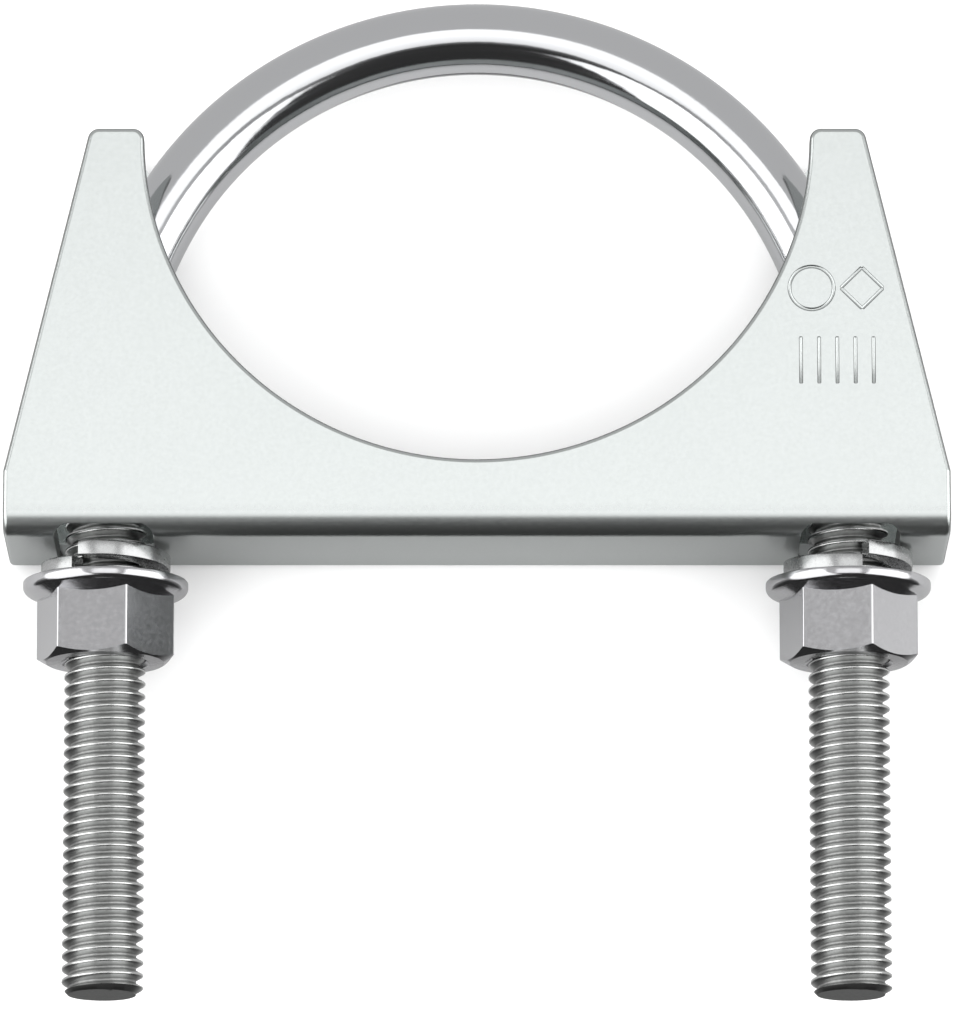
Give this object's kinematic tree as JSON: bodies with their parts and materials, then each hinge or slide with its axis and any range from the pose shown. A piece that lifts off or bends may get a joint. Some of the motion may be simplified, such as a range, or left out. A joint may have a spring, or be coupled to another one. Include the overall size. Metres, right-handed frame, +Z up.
{
  "type": "pipe clamp u-bolt with saddle",
  "caption": "Saddle clamp for round pipe: a threaded U-bolt through a pressed channel saddle, held by flange nuts on split spring washers.",
  "frame": {"origin": "bottom centre of the clamp's box, as it lies on the outer face of the saddle's rear flange", "axes": "+X across the two legs, +Y from the leg ends to the top of the bow, +Z up through the channel, out of the front flange"},
  "size_m": [0.0918, 0.099, 0.017],
  "materials": {
    "bright_zinc_wire": "bright zinc plate on drawn steel wire, glossy",
    "satin_zinc_sheet": "bright zinc plate on pressed steel sheet, satin",
    "bright_zinc_nut": "bright zinc plate on cold-formed steel, glossy",
    "bright_zinc_washer": "zinc plate on coiled spring steel, semi-bright"
  },
  "bodies": {
    "saddle": {"saddle": "satin_zinc_sheet"},
    "u_bolt": {"u_bolt": "bright_zinc_wire"},
    "left_nut": {"left_nut": "bright_zinc_nut"},
    "right_nut": {"right_nut": "bright_zinc_nut"},
    "left_washer": {"left_washer": "bright_zinc_washer"},
    "right_washer": {"right_washer": "bright_zinc_washer"}
  },
  "joints": [
    {"name": "u_bolt_slide", "type": "slide", "parent": "saddle", "child": "u_bolt", "axis": [0, 1, 0], "range_m": [-0.01, 0.0325]},
    {"name": "left_nut_turn", "type": "hinge", "parent": "saddle", "child": "left_nut", "pos_m": [-0.0362, -0.0128, 0.0085], "axis": [0, 1, 0], "range_deg": [-9361, 2881]},
    {"name": "right_nut_turn", "type": "hinge", "parent": "saddle", "child": "right_nut", "pos_m": [0.0362, -0.0128, 0.0085], "axis": [0, 1, 0], "range_deg": [-9361, 2881]},
    {"name": "left_washer_turn", "type": "hinge", "parent": "saddle", "child": "left_washer", "pos_m": [-0.0362, -0.0072, 0.0085], "axis": [0, 1, 0], "continuous": true},
    {"name": "right_washer_turn", "type": "hinge", "parent": "saddle", "child": "right_washer", "pos_m": [0.0362, -0.0072, 0.0085], "axis": [0, 1, 0], "continuous": true}
  ],
  "couplings": [
    {"joint": "left_nut_turn", "follows": "u_bolt_slide", "rad_per_m": -5026.5},
    {"joint": "right_nut_turn", "follows": "u_bolt_slide", "rad_per_m": -5026.5}
  ]
}
